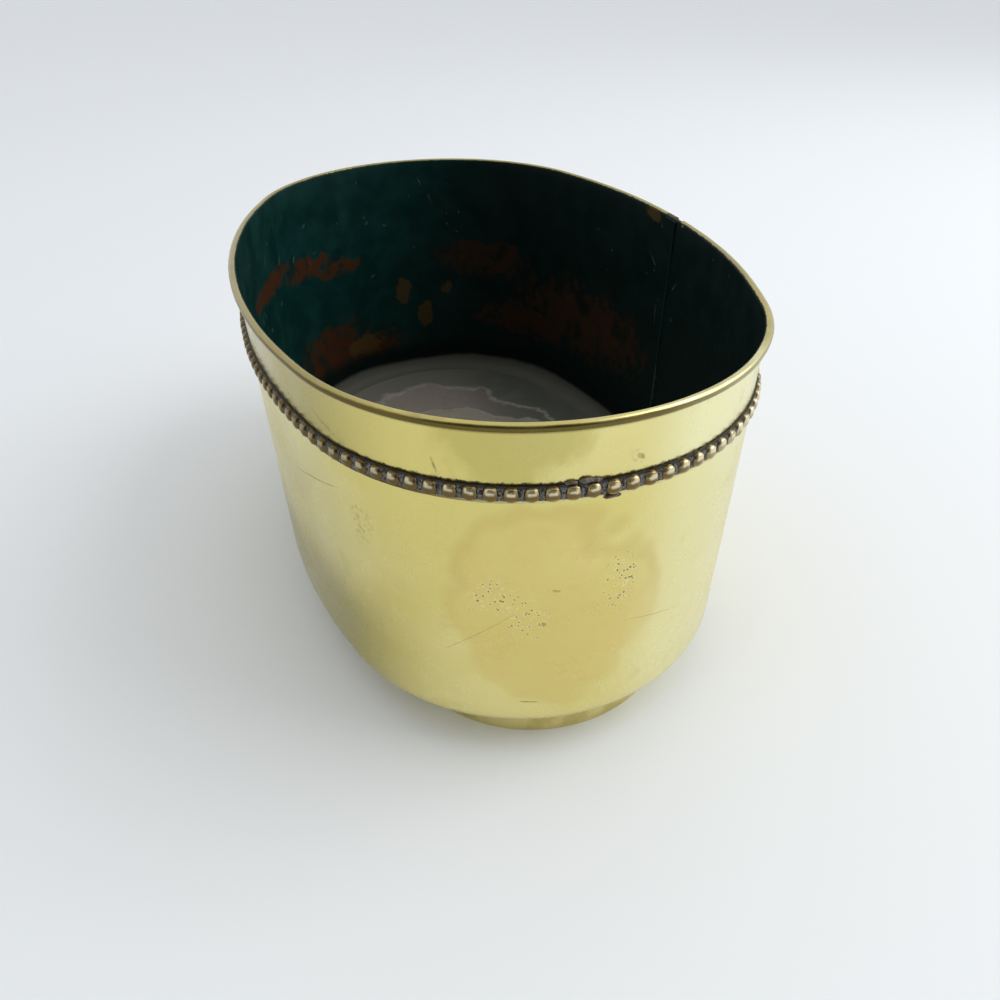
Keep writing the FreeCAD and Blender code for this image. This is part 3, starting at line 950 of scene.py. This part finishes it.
# One dome on its side, domed towards +X, its flat back at x = 0.
def makeBead():
    s = bandSizes
    deselectAll()
    bpy.ops.mesh.primitive_uv_sphere_add(segments=s["beadSides"], ring_count=2 * s["beadRings"],
                                         radius=1, rotation=(0, math.pi / 2, 0))
    bead = bpy.context.object
    bead.name = "bead"
    bpy.ops.object.transform_apply(location=True, rotation=True, scale=True)
    bpy.ops.object.mode_set(mode="EDIT")
    bpy.ops.mesh.select_mode(type="VERT")
    bpy.ops.object.mode_set(mode="OBJECT")
    bpy.ops.object.modifier_add(type="CAST")
    bead.modifiers[-1].cast_type = "CUBOID"
    bead.modifiers[-1].factor = s["beadSquare"]
    bpy.ops.object.modifier_apply(modifier=bead.modifiers[-1].name)
    bpy.ops.object.mode_set(mode="EDIT")
    pick(bead, "verts", lambda v: v.co.x < -1e-4)
    bpy.ops.mesh.delete(type="VERT")
    bpy.ops.mesh.select_mode(type="EDGE")
    pick(bead, "edges", lambda e: e.is_boundary)
    bpy.ops.mesh.edge_face_add()
    bpy.ops.mesh.select_all(action="SELECT")
    bpy.ops.mesh.normals_make_consistent(inside=False)
    bpy.ops.transform.resize(value=(s["beadRise"], s["beadWide"], s["beadHigh"]),
                             center_override=(0, 0, 0))
    bpy.ops.object.mode_set(mode="OBJECT")
    return bead


def makeStrip(material):
    s = bandSizes
    middle = s["height"]
    low = middle - s["stripWidth"] / 2
    high = middle + s["stripWidth"] / 2
    neck = s["neckHalf"]
    end = s["neckEnd"]
    points = [(s["stripBack"], low), (s["stripInset"], low), (s["stripInset"], middle - end),
              (s["neckInset"], middle - neck), (s["neckInset"], middle + neck),
              (s["stripInset"], middle + end), (s["stripInset"], high), (s["stripBack"], high)]
    strip = drawSection("beadStrip", points, True)
    spinRound(strip, s["columnsPerBead"] * s["count"])
    roughen(strip, s["roughSize"], s["rough"])
    markPlace(strip)
    followDents(strip)
    smoothBy(strip, s["stripSmooth"])
    finishPiece(strip, "bead_brass", material)


def makeBeads(material):
    s = bandSizes
    bead = makeBead()
    copies = []
    for index in range(s["count"]):
        along = rimOval["run"] * index / s["count"]
        place, angle = ovalSpot(along, s["seatInset"], s["height"] + s["beadLift"])
        workOn(bead)
        bpy.ops.object.duplicate(linked=False)
        copy = bpy.context.object
        copy.location = place
        copy.rotation_euler = (random.uniform(-s["beadRoll"], s["beadRoll"]), 0, angle)
        size = random.uniform(*s["beadShrink"])
        copy.scale = (size, size, size)
        copies.append(copy)
    deselectAll()
    bpy.data.objects.remove(bead)
    for copy in copies:
        copy.select_set(True)
    bpy.context.view_layer.objects.active = copies[0]
    bpy.ops.object.join()
    bpy.ops.object.transform_apply(location=True, rotation=True, scale=True)
    beads = bpy.context.object
    beads.name = "beadRow"
    beads.data.name = "beadRow"
    markPlace(beads)
    followDents(beads)
    smoothBy(beads, s["beadSmooth"])
    finishPiece(beads, "bead_brass", material, "bead_band")


# Thin, uneven solder in the corner between the foot ring and the flange.
footSolderSizes = {
    "section": [(1 * mm, 9.2 * mm), (1 * mm, 10 * mm), (2 * mm, 10 * mm), (1.2 * mm, 9.5 * mm)],
    "columns": 240,
    "roughSize": 3 * mm,
    "rough": 0.3 * mm,
    "smooth": 60,
}


def makeFootSolder(material):
    s = footSolderSizes
    fillet = drawSection("footSolder", s["section"], True, footOval)
    spinRound(fillet, s["columns"], footOval)
    roughen(fillet, s["roughSize"], s["rough"])
    followDents(fillet)
    smoothBy(fillet, s["smooth"])
    finishPiece(fillet, "foot_brass", material)


# Lumps of solder: (run, inset, height), (half depth, half run, half height) in millimetres.
lumpSizes = {
    "bandLumps": [((-8.6, 1.2, 84.0), (0.4, 1.3, 0.45)), ((-5.6, 1.15, 84.2), (0.45, 1.5, 0.6)),
                  ((-3.6, 1.2, 84.0), (0.4, 1.1, 0.4)), ((-0.2, 1.1, 79.7), (0.5, 1.9, 0.45)),
                  ((-3.9, 0.8, 81.6), (0.6, 0.55, 1.4)), ((-7.9, 0.8, 81.9), (0.6, 0.5, 1.3))],
    "seamLumps": [((126.0, 1.0, 97.0), (0.8, 2.3, 0.45)), ((128.6, 1.2, 96.4), (0.9, 1.2, 0.7)),
                  ((136.6, 1.3, 96.2), (0.6, 1.0, 0.6))],
    "lumpSteps": 3,
    "rough": 0.35 * mm,
    "roughSize": 0.9 * mm,
    "smooth": 60,
}


def makeLumps(name, lumps, material, slot):
    pieces = []
    for (along, inset, height), size in lumps:
        place, angle = ovalSpot(along * mm, inset * mm, height * mm)
        deselectAll()
        bpy.ops.mesh.primitive_ico_sphere_add(subdivisions=lumpSizes["lumpSteps"], radius=mm,
                                              location=place, rotation=(0, 0, angle))
        lump = bpy.context.object
        lump.scale = size
        bpy.ops.object.transform_apply(location=True, rotation=True, scale=True)
        pieces.append(lump)
    deselectAll()
    for lump in pieces:
        lump.select_set(True)
    bpy.context.view_layer.objects.active = pieces[0]
    bpy.ops.object.join()
    lumpy = bpy.context.object
    lumpy.name = name
    lumpy.data.name = name
    roughen(lumpy, lumpSizes["roughSize"], lumpSizes["rough"])
    smoothBy(lumpy, lumpSizes["smooth"])
    finishPiece(lumpy, slot, material)


floorSizes = {
    "inset": 7.2 * mm,
    "bottom": 10.5 * mm,
    "top": 11.3 * mm,
    "columns": 240,
    "insets": (0.3, 1.2, 3, 5, 8, 8, 8, 8, 6),
    "smooth": 40,
}


def makeFloor(material):
    s = floorSizes
    plate = drawSection("floorPlate", [(s["inset"], s["bottom"]), (s["inset"], s["top"])], False)
    spinRound(plate, s["columns"])
    workOn(plate)
    bpy.ops.object.mode_set(mode="EDIT")
    for height in (s["bottom"], s["top"]):
        bpy.ops.mesh.select_mode(type="EDGE")
        pick(plate, "edges", lambda e: all(abs(v.co.z - height) < 1e-6 for v in e.verts))
        bpy.ops.mesh.edge_face_add()
        bpy.ops.mesh.select_mode(type="FACE")
        for step in s["insets"]:
            bpy.ops.mesh.inset(thickness=step * mm, use_boundary=True)
    bpy.ops.mesh.select_all(action="SELECT")
    bpy.ops.mesh.normals_make_consistent(inside=False)
    bpy.ops.object.mode_set(mode="OBJECT")
    smoothBy(plate, s["smooth"])
    finishPiece(plate, "floor_brass", material, "base_plate")


footSizes = {
    "thickness": 1 * mm,
    "height": 10 * mm,
    "round": 0.25 * mm,
    "columns": 260,
    "rings": 5,
    "smooth": 50,
}


def makeFoot(material):
    s = footSizes
    inner = s["thickness"]
    soft = s["round"]
    points = [(soft, 0), (0.3 * soft, 0.3 * soft), (0, soft)]
    points += upright(0, soft, s["height"], s["rings"])
    points += [(0, s["height"]), (inner, s["height"])]
    points += upright(inner, s["height"], soft, s["rings"])
    points += [(inner, soft), (inner - 0.3 * soft, 0.3 * soft), (inner - soft, 0)]
    foot = drawSection("footRing", points, True, footOval)
    spinRound(foot, s["columns"], footOval)
    followDents(foot)
    smoothBy(foot, s["smooth"])
    finishPiece(foot, "foot_brass", material, "foot_ring")


stageSizes = {
    "floorSize": 14,
    "floorColour": (0.84, 0.87, 0.89),
    "worldColour": (0.91, 0.92, 0.94),
    "worldStrength": 0.97,
    "darkSide": (0.88, -0.33, 0.34),
    "darkStrength": 0.22,
    "darkEdge": (0.62, 0.88),
    "keyPlace": (0.25, 0.9, 0.9),
    "keyAim": (0, 0, 0.05),
    "keySize": 0.9,
    "keyPower": 6.5,
}
cameraPlace = {
    "location": (0.199098, -0.052741, 0.163655),
    "rotation": (0.91957, 0.00982, 1.26927),
    "lens": 26.4258,
    "sensor": 36,
    "nearest": 0.005,
    "farthest": 50,
}


def makeStage():
    s = stageSizes
    deselectAll()
    bpy.ops.mesh.primitive_plane_add(size=s["floorSize"])
    paper = bpy.context.object
    paper.name = "studioFloor"
    material, tree, shader = newMaterial("studioPaper")
    feed(tree, shader, Base_Color=(*s["floorColour"], 1), Roughness=0.7)
    paper.data.materials.append(material)
    # A pale room, with the darker side that the metal reflects.
    world = bpy.data.worlds.new("studio")
    bpy.context.scene.world = world
    world.use_nodes = True
    tree = world.node_tree
    sky = tree.nodes["Background"]
    sky.inputs["Color"].default_value = (*s["worldColour"], 1)
    bearing = put(tree, "TexCoord", {}, "Generated")
    toSide = put(tree, "VectorMath", {0: bearing, 1: Vector(s["darkSide"]).normalized()},
                 "Value", operation="DOT_PRODUCT")
    tree.links.new(fade(tree, toSide, *s["darkEdge"], s["worldStrength"], s["darkStrength"]),
                   sky.inputs["Strength"])
    bpy.ops.object.light_add(type="AREA", location=s["keyPlace"])
    key = bpy.context.object
    key.name = "keyLight"
    key.data.size = s["keySize"]
    key.data.energy = s["keyPower"]
    aim = Vector(s["keyAim"]) - Vector(s["keyPlace"])
    key.rotation_euler = aim.to_track_quat("-Z", "Y").to_euler()


def makeCamera():
    c = cameraPlace
    bpy.ops.object.camera_add(location=c["location"], rotation=c["rotation"])
    camera = bpy.context.object
    camera.name = "photoCamera"
    camera.data.lens = c["lens"]
    camera.data.sensor_width = c["sensor"]
    camera.data.sensor_fit = "HORIZONTAL"
    camera.data.clip_start = c["nearest"]
    camera.data.clip_end = c["farthest"]
    bpy.context.scene.camera = camera


bpy.context.scene.view_settings.view_transform = "Standard"
deselectAll()
for leftover in ("Cube", "Light", "Camera"):
    if leftover in bpy.data.objects:
        bpy.data.objects.remove(bpy.data.objects[leftover])
makeCamera()
makeStage()
print("stage, light and camera are set")

brass = makeBrass()
darkSolder = makeSolder("darkSolder", 0.1)
greySolder = makeSolder("greySolder", 0.8)
print("metals are mixed")

makeWall(brass)
print("wall, lap and notch made")
makeStrip(makeStripBrass())
makeBeads(makeBeadBrass())
makeLumps("bandSolder", lumpSizes["bandLumps"], darkSolder, "bead_brass")
makeLumps("seamSolder", lumpSizes["seamLumps"], greySolder, "wall_brass")
print("beaded band and solder made")
makeFloor(makeFloorStain())
makeFoot(makeFootBrass())
makeFootSolder(greySolder)
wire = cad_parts["rim_wire"]
wire.data.materials.clear()
wire.data.materials.append(makeWireSteel())
print("floor plate, foot ring and wire made")
